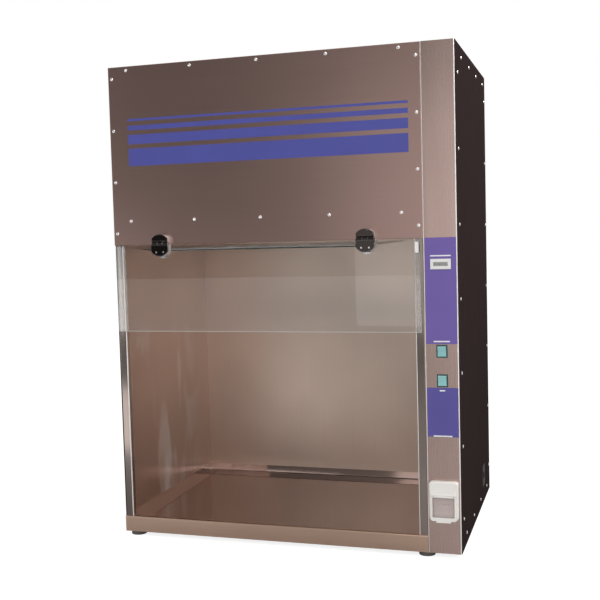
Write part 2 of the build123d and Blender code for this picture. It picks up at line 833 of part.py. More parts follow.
knuckle_half = knuckle_length / 2
outer_end = hinge_upper_width / 2 - pin_end_inset
middle_span = [(-knuckle_half, knuckle_half)]
outer_spans = [(-outer_end, -knuckle_half - running_gap), (knuckle_half + running_gap, outer_end)]
middle_pocket = [(-knuckle_half - running_gap, knuckle_half + running_gap)]
outer_pockets = [(-hinge_lower_width, -knuckle_half), (knuckle_half, hinge_lower_width)]
pin_hole_radius = pin_radius + pin_clearance
leaf_back = y_front - pad_thickness
fixed_leaves = []
sash_leaves = []
hinge_pins = []
clamp_plates = []
for x in hinge_x:
    disc_top = disc_z + hinge_diameter / 2
    disc_low = disc_z - hinge_diameter / 2
    fixed_blank = leaf_blank(x, hinge_upper_width, y_front, hinge_z + running_gap, disc_top)
    with BuildPart() as fixed_leaf:
        add(fixed_blank)
        add(groove(x, hinge_lower_width, 1), mode=Mode.SUBTRACT)
        add(barrels(x, knuckle_radius, outer_spans))
        add(barrels(x, knuckle_radius + running_gap, middle_pocket), mode=Mode.SUBTRACT)
        add(barrels(x, pin_hole_radius, [(-hinge_lower_width, hinge_lower_width)]), mode=Mode.SUBTRACT)
    fixed_leaves.append(fixed_leaf.part)

    sash_blank = leaf_blank(x, hinge_lower_width, leaf_back, disc_low, hinge_z - running_gap)
    clamp_plane = facing_user(x, y_front + glass_thickness, clamp_z)
    stud_reach = clamp_stud_length - pad_thickness + clamp_stud_spare
    with BuildPart() as sash_leaf:
        add(sash_blank)
        add(groove(x, hinge_lower_width, -1), mode=Mode.SUBTRACT)
        add(barrels(x, knuckle_radius, middle_span))
        add(barrels(x, knuckle_radius + running_gap, outer_pockets), mode=Mode.SUBTRACT)
        add(barrels(x, pin_hole_radius, [(-hinge_lower_width, hinge_lower_width)]), mode=Mode.SUBTRACT)
        add(disc(clamp_plane, clamp_stud_radius + pin_clearance, stud_reach), mode=Mode.SUBTRACT)
    sash_leaves.append(sash_leaf.part)
    hinge_pins += barrels(x, pin_radius, [(-outer_end, outer_end)])

    plate_face = y_front + glass_thickness + pad_thickness
    plate_back = plate_face + back_plate_thickness
    with BuildPart() as clamp_plate:
        add(disc(facing_user(x, plate_back, clamp_z), back_plate_radius, back_plate_thickness))
        add(disc(facing_user(x, plate_face, clamp_z), clamp_stud_radius, clamp_stud_length))
    clamp_plates.append(clamp_plate.part)

for pair, pair_name in (
    (fixed_leaves, "fixed_leaves"),
    (sash_leaves, "sash_leaves"),
    (hinge_pins, "hinge_pins"),
    (clamp_plates, "clamp_plates"),
):
    with BuildPart() as both:
        add(pair)
    finish(both.part, pair_name)

# Clamp pads: soft pads on both faces of the glass, slotted to slip over the stud
pad_backs = (y_front, y_front + glass_thickness + pad_thickness)
with BuildPart() as clamp_pads:
    for back in pad_backs:
        with BuildSketch(front_plane(back)):
            with Locations(*[(x, clamp_z) for x in hinge_x]):
                Rectangle(pad_size, pad_size)
            with Locations(*[(x, clamp_z - pad_size / 4) for x in hinge_x]):
                Rectangle(2 * clamp_hole_radius, pad_size / 2 + 2 * clamp_hole_radius, mode=Mode.SUBTRACT)
        extrude(amount=pad_thickness)
finish(clamp_pads.part, "clamp_pads")

# Sash contact: a magnet on the glass and a switch behind the right post
magnet_x = (glass_x[1] - magnet_inset - magnet_width, glass_x[1] - magnet_inset)
magnet_z = (glass_top - magnet_drop - magnet_height, glass_top - magnet_drop)
sash_magnet = slab(magnet_x, (y_front - magnet_depth, y_front), magnet_z)
finish(sash_magnet, "sash_magnet")
switch_y = y_frame + sheet
finish(slab(magnet_x, (switch_y, switch_y + magnet_depth), magnet_z), "sash_contact")

# Labels: printed films on the column
label_x = (x_chamber + (column_width - label_width) / 2, x_chamber + (column_width + label_width) / 2)
meter_opening = slab(
    (x_column - meter_body_width / 2 - panel_fit, x_column + meter_body_width / 2 + panel_fit),
    (y_front - label_thickness, y_front),
    (z_meter - meter_body_height / 2 - panel_fit, z_meter + meter_body_height / 2 + panel_fit),
)
label_y = (y_front - label_thickness, y_front)
with BuildPart() as upper_label:
    add(slab(label_x, label_y, (z_bottom + upper_label_bottom, z_bottom + upper_label_top)))
    add(meter_opening, mode=Mode.SUBTRACT)
finish(upper_label.part, "upper_label")
lower_label = slab(label_x, label_y, (z_bottom + lower_label_bottom, z_bottom + lower_label_top))
finish(lower_label, "lower_label")

# Hour meter: bezel on the label, body through the column, window let into the bezel
meter_face = y_front - label_thickness - meter_bezel_proud
with BuildPart() as hour_meter:
    with BuildSketch(front_plane(y_front - label_thickness)):
        with Locations((x_column, z_meter)):
            Rectangle(meter_bezel_width, meter_bezel_height)
    extrude(amount=meter_bezel_proud)
    chamfer(hour_meter.faces().sort_by(Axis.Y)[0].edges(), length=meter_edge)
    with BuildSketch(front_plane(y_front - label_thickness + meter_body_depth)):
        with Locations((x_column, z_meter)):
            Rectangle(meter_body_width, meter_body_height)
    extrude(amount=meter_body_depth)
    with BuildSketch(front_plane(meter_face + meter_window_depth)):
        with Locations((x_column, z_meter)):
            Rectangle(meter_window_width, meter_window_height)
    extrude(amount=meter_window_depth, mode=Mode.SUBTRACT)
finish(hour_meter.part, "hour_meter")
window_x = (x_column - meter_window_width / 2, x_column + meter_window_width / 2)
window_z = (z_meter - meter_window_height / 2, z_meter + meter_window_height / 2)
meter_window = slab(window_x, (meter_face + running_gap, meter_face + meter_window_depth), window_z)
finish(meter_window, "meter_window")

# Rocker switches: a frame through the column and a rocker tilting on its middle
rocker_y = y_front + rocker_pivot_depth
well_half = rocker_radius + running_gap
crown_slope = math.tan(math.radians(rocker_tilt))
crown_b = rocker_crown * crown_slope
crown_a = 1 + crown_slope**2
crown_c = rocker_crown**2 - rocker_radius**2
rocker_end = (-crown_b + math.sqrt(crown_b**2 - crown_a * crown_c)) / crown_a
rocker_tip = rocker_crown + rocker_end * crown_slope
rocker_heel = math.sqrt(rocker_radius**2 - rocker_back**2)
for switch_name, z in zip(("fan", "lamp"), switch_heights):
    with BuildPart() as switch_frame:
        with BuildSketch(front_plane(y_front)):
            with Locations((x_column, z)):
                Rectangle(switch_bezel_width, switch_bezel_height)
        extrude(amount=switch_bezel_proud)
        chamfer(switch_frame.faces().sort_by(Axis.Y)[0].edges(), length=switch_edge)
        with BuildSketch(front_plane(y_front + switch_body_depth)):
            with Locations((x_column, z)):
                Rectangle(switch_body_width, switch_body_height)
        extrude(amount=switch_body_depth)
        with BuildSketch(front_plane(y_front + switch_well_depth)):
            with Locations((x_column, z)):
                Rectangle(rocker_width + 2 * running_gap, 2 * well_half)
        extrude(amount=switch_well_depth + switch_bezel_proud, mode=Mode.SUBTRACT)
    finish(switch_frame.part, switch_name + "_switch_frame")

    with BuildPart() as rocker:
        with BuildSketch(Plane.YZ):
            with BuildLine():
                Polyline((-rocker_tip, rocker_end), (-rocker_crown, 0), (-rocker_tip, -rocker_end))
                RadiusArc((-rocker_tip, -rocker_end), (rocker_back, -rocker_heel), -rocker_radius)
                Line((rocker_back, -rocker_heel), (rocker_back, rocker_heel))
                RadiusArc((rocker_back, rocker_heel), (-rocker_tip, rocker_end), -rocker_radius)
            make_face()
        extrude(amount=rocker_width / 2, both=True)
    tilted = rocker.part.moved(Location((x_column, rocker_y, z), (rocker_tilt, 0, 0)))
    finish(tilted, switch_name + "_rocker")

# Mains outlet: a moulded box on the column with a square well for its socket
z_outlet_low = z_bottom + outlet_bottom
outlet_face = y_front - outlet_depth
z_well = z_outlet_low + well_bottom
with BuildPart() as outlet_box:
    with BuildSketch(front_plane(y_front)):
        with Locations((x_column, z_outlet)):
            RectangleRounded(outlet_width, outlet_height, outlet_corner)
    extrude(amount=outlet_depth)
    chamfer(outlet_box.faces().sort_by(Axis.Y)[0].edges(), length=outlet_edge)
    with BuildSketch(front_plane(y_front - outlet_back)):
        with Locations((x_column, z_well + well_size / 2)):
            Rectangle(well_size, well_size)
    extrude(amount=outlet_depth, mode=Mode.SUBTRACT)
    lid_axis_y = outlet_face - running_gap - lid_barrel_radius
    lid_axis_z = z_well + well_size + lid_barrel_radius + lid_axis_rise
    ear_front = lid_axis_y - lid_barrel_radius
    ear_back = outlet_face + lid_ear_root
    ear_x = [x_column - lid_width / 2, x_column + lid_width / 2 - lid_ear_length]
    for start in ear_x:
        seat = Plane.YZ.offset(start)
        with BuildSketch(seat):
            with Locations(((ear_front + ear_back) / 2, lid_axis_z)):
                Rectangle(ear_back - ear_front, 2 * lid_barrel_radius)
            with Locations((lid_axis_y, lid_axis_z)):
                Circle(lid_pin_radius + pin_clearance, mode=Mode.SUBTRACT)
        extrude(amount=lid_ear_length)
finish(outlet_box.part, "outlet_box")

# Socket insert: a square module with its contact holes, at the bottom of the well
socket_back = y_front - outlet_back
socket_z = z_well + well_size / 2
socket_points = [(x_column + i * socket_hole_pitch, socket_z + socket_row_rise) for i in (-1, 0, 1)]
with BuildPart() as outlet_socket:
    with BuildSketch(front_plane(socket_back)):
        with Locations((x_column, socket_z)):
            Rectangle(socket_size, socket_size)
        with Locations(*socket_points):
            Circle(socket_hole_radius, mode=Mode.SUBTRACT)
    extrude(amount=socket_thickness)
finish(outlet_socket.part, "outlet_socket")

# Outlet lid: a frame hung on a pin across its top, with a latch lip under the box
lid_back = outlet_face - running_gap
lid_top = lid_axis_z
lid_low = lid_top - lid_height
lid_middle = (lid_low + lid_top) / 2
pane_width = lid_window_width + 2 * lid_rabbet
pane_height = lid_window_height + 2 * lid_rabbet
window_middle = z_well + well_size / 2 + lid_window_rise
barrel_half = lid_width / 2 - lid_ear_length - running_gap
ear_gap = math.hypot(lid_barrel_radius, lid_barrel_radius) + running_gap
latch_x = (x_column - latch_width / 2, x_column + latch_width / 2)
latch_bottom = z_outlet_low - latch_height
latch_lip = slab(latch_x, (lid_back - lid_thickness, lid_back), (latch_bottom, lid_low + latch_root))
latch_catch = slab(
    latch_x, (lid_back - latch_root, lid_back + latch_hook), (latch_bottom, z_outlet_low - running_gap)
)
lid_barrel_plane = facing_right(x_column - barrel_half, lid_axis_y, lid_axis_z)
lid_barrel = disc(lid_barrel_plane, lid_barrel_radius, 2 * barrel_half)
lid_pin_hole = disc(lid_barrel_plane, lid_pin_radius + pin_clearance, 2 * barrel_half)
lid_ear_reliefs = [
    slab(
        (x_column + low, x_column + high),
        (lid_back - lid_thickness - cut_margin, lid_back + cut_margin),
        (lid_axis_z - ear_gap, lid_axis_z + ear_gap),
    )
    for low, high in ((-lid_width, -barrel_half), (barrel_half, lid_width))
]
with BuildPart() as outlet_lid:
    with BuildSketch(front_plane(lid_back)):
        with Locations((x_column, lid_middle)):
            RectangleRounded(lid_width, lid_height, lid_corner)
        with Locations((x_column, window_middle)):
            Rectangle(lid_window_width, lid_window_height, mode=Mode.SUBTRACT)
    extrude(amount=lid_thickness)
    with BuildSketch(front_plane(lid_back)):
        with Locations((x_column, window_middle)):
            Rectangle(pane_width, pane_height)
    extrude(amount=lid_pane_thickness, mode=Mode.SUBTRACT)
    add(lid_ear_reliefs, mode=Mode.SUBTRACT)
    add([lid_barrel, latch_lip, latch_catch])
    add(lid_pin_hole, mode=Mode.SUBTRACT)
finish(outlet_lid.part, "outlet_lid")
pane_x = (x_column - pane_width / 2, x_column + pane_width / 2)
pane_z = (window_middle - pane_height / 2, window_middle + pane_height / 2)
lid_window = slab(pane_x, (lid_back - lid_pane_thickness, lid_back), pane_z)
finish(lid_window, "lid_window")
finish(disc(facing_right(ear_x[0], lid_axis_y, lid_axis_z), lid_pin_radius, lid_width), "lid_pin")

# Mains inlet: an appliance inlet on a plate, its well open to the right
inlet_face = x_right + inlet_plate_thickness
with BuildPart() as mains_inlet:
    with BuildSketch(Plane.YZ.offset(x_right)):
        with Locations((inlet_y, inlet_z)):
            Rectangle(inlet_plate_depth, inlet_plate_height)
    extrude(amount=inlet_plate_thickness)
    chamfer(mains_inlet.edges().filter_by(Axis.X), length=inlet_corner)
    with BuildSketch(Plane.YZ.offset(x_right - inlet_body_length)):
        with Locations((inlet_y, inlet_z)):
            Rectangle(inlet_body_depth, inlet_body_height)
    extrude(amount=inlet_body_length)
    with BuildSketch(Plane.YZ.offset(inlet_face - inlet_well_length)):
        with Locations((inlet_y, inlet_z)):
            Rectangle(inlet_well_depth, inlet_well_height)
    extrude(amount=inlet_well_length, mode=Mode.SUBTRACT)
    with BuildSketch(Plane.YZ.offset(inlet_face - inlet_well_length)):
        with Locations((inlet_y, inlet_z - inlet_pin_drop)):
            Rectangle(inlet_pin_width, inlet_pin_height)
        with Locations((inlet_y, inlet_z + inlet_pin_rise)):
            with GridLocations(2 * inlet_pin_spacing, 1, 2, 1):
                Rectangle(inlet_pin_width, inlet_pin_height)
    extrude(amount=inlet_pin_length)
finish(mains_inlet.part, "mains_inlet")

# Filters: a gasket on the ceiling, the pad inside it and the cartridge on top
filter_x = (chamber_left + sheet + filter_clearance, chamber_right - sheet - filter_clearance)
filter_y = (y_frame + sheet + filter_clearance, y_back - 2 * sheet - filter_clearance)
filter_center = ((filter_x[0] + filter_x[1]) / 2, (filter_y[0] + filter_y[1]) / 2)
filter_size = (filter_x[1] - filter_x[0], filter_y[1] - filter_y[0])
filter_base = ceiling_top + filter_gasket_height
with BuildPart() as filter_gasket:
    with BuildSketch(Plane.XY.offset(ceiling_top)):
        with Locations(filter_center):
            Rectangle(*filter_size)
            Rectangle(
                filter_size[0] - 2 * filter_gasket_width,
                filter_size[1] - 2 * filter_gasket_width,
                mode=Mode.SUBTRACT,
            )
    extrude(amount=filter_gasket_height)
finish(filter_gasket.part, "filter_gasket")

pad_inset = filter_gasket_width + prefilter_clearance
prefilter_pad = slab(
    (filter_x[0] + pad_inset, filter_x[1] - pad_inset),
    (filter_y[0] + pad_inset, filter_y[1] - pad_inset),
    (ceiling_top, filter_base),
)
finish(prefilter_pad, "prefilter_pad")

with BuildPart() as filter_frame:
    with BuildSketch(Plane.XY.offset(filter_base)):
        with Locations(filter_center):
            Rectangle(*filter_size)
            Rectangle(
                filter_size[0] - 2 * filter_wall, filter_size[1] - 2 * filter_wall, mode=Mode.SUBTRACT
            )
    extrude(amount=filter_height)
finish(filter_frame.part, "filter_frame")

carbon_bed = slab(
    (filter_x[0] + filter_wall, filter_x[1] - filter_wall),
    (filter_y[0] + filter_wall, filter_y[1] - filter_wall),
    (filter_base, filter_base + filter_height - filter_wall),
)
finish(carbon_bed, "carbon_bed")

# Lamp: a batten under the ceiling, a holder at each end and the tube between them
lamp_y = y_frame + lamp_setback
lamp_z = z_ceiling - lamp_drop
batten_length = chamber_right - chamber_left - 2 * lamp_end_gap
lamp_length = batten_length - 2 * lampholder_thickness
batten_corners = [
    (lamp_y - batten_width / 2, z_ceiling),
    (lamp_y - batten_width / 2, z_ceiling - batten_height),
    (lamp_y + batten_width / 2, z_ceiling - batten_height),
    (lamp_y + batten_width / 2, z_ceiling),
]
lamp_batten = folded_sheet(Plane.YZ.offset(x_middle - batten_length / 2), batten_corners, batten_length)
finish(lamp_batten, "lamp_batten")

lampholder_z = (lamp_z - lampholder_below, z_ceiling - batten_height)
with BuildPart() as lampholder:
    with BuildSketch(Plane.YZ.offset(x_middle)):
        with Locations((lamp_y, (lampholder_z[0] + lampholder_z[1]) / 2)):
            Rectangle(lampholder_width, lampholder_z[1] - lampholder_z[0])
    extrude(amount=lampholder_thickness / 2, both=True)
    fillet(lampholder.edges().filter_by(Axis.X).group_by(Axis.Z)[0], radius=lampholder_corner)
with BuildPart() as lampholders:
    with GridLocations(lamp_length + lampholder_thickness, 1, 2, 1):
        add(lampholder.part)
finish(lampholders.part, "lampholders")

lamp_start = x_middle - lamp_length / 2
finish(disc(facing_right(lamp_start, lamp_y, lamp_z), lamp_radius, lamp_length), "lamp_tube")

# Gear in the column's space, on the outer face of the right chamber wall
gear_x = chamber_right + sheet
gear_y = (y_front + y_back) / 2
with BuildPart() as ballast:
    with BuildSketch(Plane.YZ.offset(gear_x)):
        with Locations((gear_y, z_bottom + ballast_height)):
            Rectangle(ballast_width, ballast_length)
    extrude(amount=ballast_thickness)
    fillet(ballast.faces().sort_by(Axis.X)[-1].edges(), radius=ballast_edge)
finish(ballast.part, "ballast")

with BuildPart() as terminal_block:
    with BuildSketch(Plane.YZ.offset(gear_x)):
        with Locations((gear_y, z_bottom + terminal_height)):
            Rectangle(terminal_length, terminal_width)
    extrude(amount=terminal_thickness)
    with BuildSketch(Plane.YZ.offset(gear_x + terminal_thickness / 2)):
        with Locations((gear_y, z_bottom + terminal_height)):
            with GridLocations(terminal_length / terminal_ways, 1, terminal_ways, 1):
                Rectangle(terminal_length / terminal_ways / 2, terminal_width / 2)
    extrude(amount=terminal_thickness, mode=Mode.SUBTRACT)
finish(terminal_block.part, "terminal_block")
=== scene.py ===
import math

import bmesh
import bpy
from mathutils import Matrix, Vector


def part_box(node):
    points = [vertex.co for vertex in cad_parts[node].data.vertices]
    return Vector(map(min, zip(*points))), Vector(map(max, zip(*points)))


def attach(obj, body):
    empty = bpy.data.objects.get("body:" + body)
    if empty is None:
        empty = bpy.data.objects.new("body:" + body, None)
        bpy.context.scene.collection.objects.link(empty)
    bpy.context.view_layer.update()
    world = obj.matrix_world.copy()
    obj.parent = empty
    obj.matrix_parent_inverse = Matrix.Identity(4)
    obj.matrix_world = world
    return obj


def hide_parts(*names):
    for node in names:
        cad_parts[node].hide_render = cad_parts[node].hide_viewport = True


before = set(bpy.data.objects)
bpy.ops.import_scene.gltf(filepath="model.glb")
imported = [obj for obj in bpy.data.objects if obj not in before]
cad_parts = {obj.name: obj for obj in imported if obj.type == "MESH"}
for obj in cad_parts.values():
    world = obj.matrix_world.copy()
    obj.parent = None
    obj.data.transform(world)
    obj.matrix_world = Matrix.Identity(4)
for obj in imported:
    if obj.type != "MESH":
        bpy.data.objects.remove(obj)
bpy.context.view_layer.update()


# Camera: a short telephoto view from the right, a little under the level of the fascia.
# The picture is square, so the lens length holds for its width and height alike.
camera_place = (0.7418, -2.5136, 0.7750)
camera_turn = 17.195
camera_dip = 3.894
camera_roll = -1.532
camera_data = bpy.data.cameras.new("camera")
camera_data.lens = 57.3
camera_data.sensor_width = 36.0
camera = bpy.data.objects.new("camera", camera_data)
bpy.context.scene.collection.objects.link(camera)
camera.matrix_world = (
    Matrix.Translation(camera_place)
    @ Matrix.Rotation(math.radians(camera_turn), 4, "Z")
    @ Matrix.Rotation(math.radians(90 - camera_dip), 4, "X")
    @ Matrix.Rotation(math.radians(camera_roll), 4, "Z")
)
bpy.context.scene.camera = camera
bpy.context.scene.view_settings.view_transform = "Standard"


# Studio: a white floor and white surroundings, seen as white by the camera, by gloss and through glass.
# The floor keeps a soft shadow. The room in front of the hood is dimmer than the white behind it, and
# dimmest to its left.
floor_size = 30.0
floor_mesh = bmesh.new()
bmesh.ops.create_grid(floor_mesh, x_segments=1, y_segments=1, size=floor_size / 2)
floor_data = bpy.data.meshes.new("floor")
floor_mesh.to_mesh(floor_data)
floor_mesh.free()
floor = bpy.data.objects.new("floor", floor_data)
bpy.context.scene.collection.objects.link(floor)


def seen_strength(nodes, links, camera, gloss, through):
    """What camera rays, reflections and rays through glass see, and 0 for the light that falls on things."""
    path = nodes.new("ShaderNodeLightPath")
    total = None
    for output, strength in (
        ("Is Camera Ray", camera),
        ("Is Glossy Ray", gloss),
        ("Is Transmission Ray", through),
    ):
        part = nodes.new("ShaderNodeMath")
        part.operation = "MULTIPLY"
        part.inputs[1].default_value = strength
        links.new(path.outputs[output], part.inputs[0])
        if total is None:
            total = part.outputs[0]
        else:
            largest = nodes.new("ShaderNodeMath")
            largest.operation = "MAXIMUM"
            links.new(total, largest.inputs[0])
            links.new(part.outputs[0], largest.inputs[1])
            total = largest.outputs[0]
    return total


floor_paint = bpy.data.materials.new("floor_paint")
floor_paint.use_nodes = True
nodes, links = floor_paint.node_tree.nodes, floor_paint.node_tree.links
nodes.clear()
lit = nodes.new("ShaderNodeBsdfDiffuse")
lit.inputs["Color"].default_value = (0.45, 0.45, 0.45, 1)
glow = nodes.new("ShaderNodeEmission")
glow.inputs["Color"].default_value = (1, 1, 1, 1)
links.new(seen_strength(nodes, links, 0.82, 0.05, 0.82), glow.inputs["Strength"])
both = nodes.new("ShaderNodeAddShader")
links.new(lit.outputs[0], both.inputs[0])
links.new(glow.outputs[0], both.inputs[1])
out = nodes.new("ShaderNodeOutputMaterial")
links.new(both.outputs[0], out.inputs["Surface"])
floor_data.materials.append(floor_paint)



def ranged(nodes, links, source, low, high, start=0.0, end=1.0):
    """A node that gives out low to high while its source goes from start to end."""
    node = nodes.new("ShaderNodeMapRange")
    node.inputs["From Min"].default_value = start
    node.inputs["From Max"].default_value = end
    node.inputs["To Min"].default_value = low
    node.inputs["To Max"].default_value = high
    links.new(source, node.inputs["Value"])
    return node


world = bpy.data.worlds.new("studio")
bpy.context.scene.world = world
world.use_nodes = True
nodes, links = world.node_tree.nodes, world.node_tree.links
nodes.clear()
place = nodes.new("ShaderNodeTexCoord")
split = nodes.new("ShaderNodeSeparateXYZ")
links.new(place.outputs["Generated"], split.inputs[0])
left_room, right_room, white_room = 0.13, 0.30, 1.0
side_room = ranged(nodes, links, split.outputs["X"], left_room, right_room, start=-0.35, end=-0.05)
front_room = ranged(nodes, links, split.outputs["Y"], right_room, white_room, start=-0.60, end=0.10)
links.new(side_room.outputs[0], front_room.inputs["To Min"])
path = nodes.new("ShaderNodeLightPath")
white = nodes.new("ShaderNodeMath")
white.operation = "MAXIMUM"
links.new(path.outputs["Is Camera Ray"], white.inputs[0])
links.new(front_room.outputs[0], white.inputs[1])
soft = nodes.new("ShaderNodeBackground")
soft.inputs["Color"].default_value = (1, 1, 1, 1)
soft.inputs["Strength"].default_value = 0.55
seen = nodes.new("ShaderNodeBackground")
seen.inputs["Color"].default_value = (1, 1, 1, 1)
links.new(white.outputs[0], seen.inputs["Strength"])
mix = nodes.new("ShaderNodeMixShader")
links.new(seen_strength(nodes, links, 1.0, 1.0, 1.0), mix.inputs["Fac"])
links.new(soft.outputs[0], mix.inputs[1])
links.new(seen.outputs[0], mix.inputs[2])
out = nodes.new("ShaderNodeOutputWorld")
links.new(mix.outputs[0], out.inputs["Surface"])


def softbox(name, place, target, width, height, watts):
    """A rectangular lamp with a diffuser, turned to a point of the hood."""
    data = bpy.data.lights.new(name, "AREA")
    data.shape = "RECTANGLE"
    data.size = width
    data.size_y = height
    data.energy = watts
    lamp = bpy.data.objects.new(name, data)
    lamp.location = place
    lamp.rotation_mode = "QUATERNION"
    lamp.rotation_quaternion = (Vector(target) - Vector(place)).to_track_quat("-Z", "Y")
    bpy.context.scene.collection.objects.link(lamp)


softbox("key_lamp", (0.25, -3.30, 0.90), (0.2, -0.3, 0.8), 1.6, 1.3, 4.5)
softbox("overhead_lamp", (0.6, -2.4, 3.2), (0.1, -0.2, 0.6), 2.0, 1.4, 34)
softbox("low_lamp", (1.30, -2.60, 0.20), (-0.4, 0.1, 0.2), 1.00, 0.35, 5)
softbox("side_lamp", (1.95, 0.25, 2.00), (0.44, 0.05, 1.0), 0.8, 0.6, 24)
softbox("left_strip", (-2.60, -1.90, 0.80), (0.0, -0.3, 0.7), 0.30, 2.0, 14)
softbox("right_strip", (3.00, -1.30, 0.80), (0.4, -0.3, 0.7), 0.30, 2.0, 14)
softbox("wall_lamp", (-0.85, -1.25, 0.08), (-0.28, 0.24, 0.25), 0.9, 0.30, 1.2)
softbox("post_glint", (-1.30, -1.90, 0.56), (-0.43, -0.29, 0.65), 0.10, 0.40, 0.25)


# Base: a folded steel pan with its flanges turned up inside the skins, and the hat rails that
# carry the tray on it. Mill-finish stainless sheet, riveted through the side flanges.
def noise(nodes, links, vector, scale, detail):
    """A noise texture read at a vector."""
    node = nodes.new("ShaderNodeTexNoise")
    node.inputs["Scale"].default_value = scale
    node.inputs["Detail"].default_value = detail
    links.new(vector, node.inputs["Vector"])
    return node


def tinted(nodes, links, shader, colour, shade):
    """Gives a shader one colour, lighter and darker with a shade about 1."""
    tint = nodes.new("ShaderNodeVectorMath")
    tint.operation = "SCALE"
    tint.inputs[0].default_value = colour
    links.new(shade, tint.inputs["Scale"])
    links.new(tint.outputs[0], shader.inputs["Base Color"])


def raised(nodes, links, shader, height, strength, distance):
    """Gives a shader a fine relief."""
    relief = nodes.new("ShaderNodeBump")
    relief.inputs["Strength"].default_value = strength
    relief.inputs["Distance"].default_value = distance
    links.new(height, relief.inputs["Height"])
    links.new(relief.outputs[0], shader.inputs["Normal"])


def steel_finish(name, colour, roughness, lines, streak=0.025, bump=0.006, cloud=0.05):
    """Stainless sheet: fine brush lines in one direction, faint clouds where it was wiped."""
    steel = bpy.data.materials.new(name)
    steel.use_nodes = True
    nodes, links = steel.node_tree.nodes, steel.node_tree.links
    shader = nodes["Principled BSDF"]
    shader.inputs["Metallic"].default_value = 1.0
    place = nodes.new("ShaderNodeTexCoord")
    stretch = nodes.new("ShaderNodeMapping")
    stretch.inputs["Scale"].default_value = lines
    links.new(place.outputs["Object"], stretch.inputs["Vector"])
    brushed = noise(nodes, links, stretch.outputs[0], 1.0, 3.0).outputs["Fac"]
    wiped = noise(nodes, links, place.outputs["Object"], 3.1, 2.0).outputs["Fac"]
    line_shade = ranged(nodes, links, brushed, 1 - 2 * streak, 1 + 2 * streak)
    cloud_shade = ranged(nodes, links, wiped, 1 - 2 * cloud, 1 + 2 * cloud)
    shade = nodes.new("ShaderNodeMath")
    shade.operation = "MULTIPLY"
    links.new(line_shade.outputs[0], shade.inputs[0])
    links.new(cloud_shade.outputs[0], shade.inputs[1])
    tinted(nodes, links, shader, colour, shade.outputs[0])
    gloss = ranged(nodes, links, brushed, roughness * 0.92, roughness * 1.08)
    links.new(gloss.outputs[0], shader.inputs["Roughness"])
    raised(nodes, links, shader, brushed, bump, 0.0005)
    return steel


def finish_nodes(material, *names):
    """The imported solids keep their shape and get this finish."""
    for name in names:
        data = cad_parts[name].data
        data.materials.clear()
        data.materials.append(material)


along_x = (3.0, 420.0, 420.0)
along_z = (420.0, 420.0, 3.0)
mill_steel = steel_finish("mill_steel", (0.46, 0.45, 0.43), 0.34, along_x, cloud=0.10)
finish_nodes(mill_steel, "base_panel", "tray_rails")


# Feet: four round moulded rubber pads under the base, each with a rounded edge and a recess for its
# fixing screw. The front right one stands under the end of the lip.
def new_piece(name, mesh, material, body, stands_for=()):
    """Turns finished mesh work into a piece that rides on a body and takes a slot's finish."""
    data = bpy.data.meshes.new(name)
    mesh.to_mesh(data)
    mesh.free()
    data.materials.append(material)
    piece = bpy.data.objects.new(name, data)
    bpy.context.scene.collection.objects.link(piece)
    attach(piece, body)
    if stands_for:
        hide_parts(*stands_for)
    return piece


def soft_edges(mesh, angle=35):
    """Smooth shading, with a crease wherever two faces meet at more than the angle."""
    for face in mesh.faces:
        face.smooth = True
    for edge in mesh.edges:
        if len(edge.link_faces) == 2 and edge.calc_face_angle(0) > math.radians(angle):
            edge.smooth = False


def plain_finish(name, colour, roughness, grain=0.0, grain_scale=900.0, mottle=0.06, **sockets):
    """A moulded or painted surface: faint mottling of the colour and gloss, and a fine grain."""
    made = bpy.data.materials.new(name)
    made.use_nodes = True
    nodes, links = made.node_tree.nodes, made.node_tree.links
    shader = nodes["Principled BSDF"]
    for socket, value in sockets.items():
        shader.inputs[socket.replace("_", " ")].default_value = value
    place = nodes.new("ShaderNodeTexCoord")
    patches = noise(nodes, links, place.outputs["Object"], 14.0, 5.0).outputs["Fac"]
    shade = ranged(nodes, links, patches, 1 - 2 * mottle, 1 + 2 * mottle)
    tinted(nodes, links, shader, colour, shade.outputs[0])
    gloss = ranged(nodes, links, patches, roughness * 0.8, roughness * 1.2)
    links.new(gloss.outputs[0], shader.inputs["Roughness"])
    fine = noise(nodes, links, place.outputs["Object"], grain_scale, 2.0).outputs["Fac"]
    raised(nodes, links, shader, fine, grain, 0.0003)
    return made


def turned(mesh, outline, place, segments=32):
    """Spins an outline of (radius, height) points about the upright axis through a point."""
    ring = [mesh.verts.new((radius, 0, height)) for radius, height in outline]
    edges = [mesh.edges.new(pair) for pair in zip(ring, ring[1:])]
    bmesh.ops.spin(
        mesh,
        geom=ring + edges,
        cent=(0, 0, 0),
        axis=(0, 0, 1),
        angle=math.tau,
        steps=segments,
        use_merge=True,
    )
    linked = set(ring)
    frontier = list(ring)
    while frontier:
        vert = frontier.pop()
        for edge in vert.link_edges:
            other = edge.other_vert(vert)
            if other not in linked:
                linked.add(other)
                frontier.append(other)
    bmesh.ops.transform(mesh, matrix=place, verts=list(linked))


def close_up(mesh):
    """Joins doubled points and turns every face outwards."""
    bmesh.ops.remove_doubles(mesh, verts=mesh.verts, dist=0.00001)
    bmesh.ops.recalc_face_normals(mesh, faces=mesh.faces)


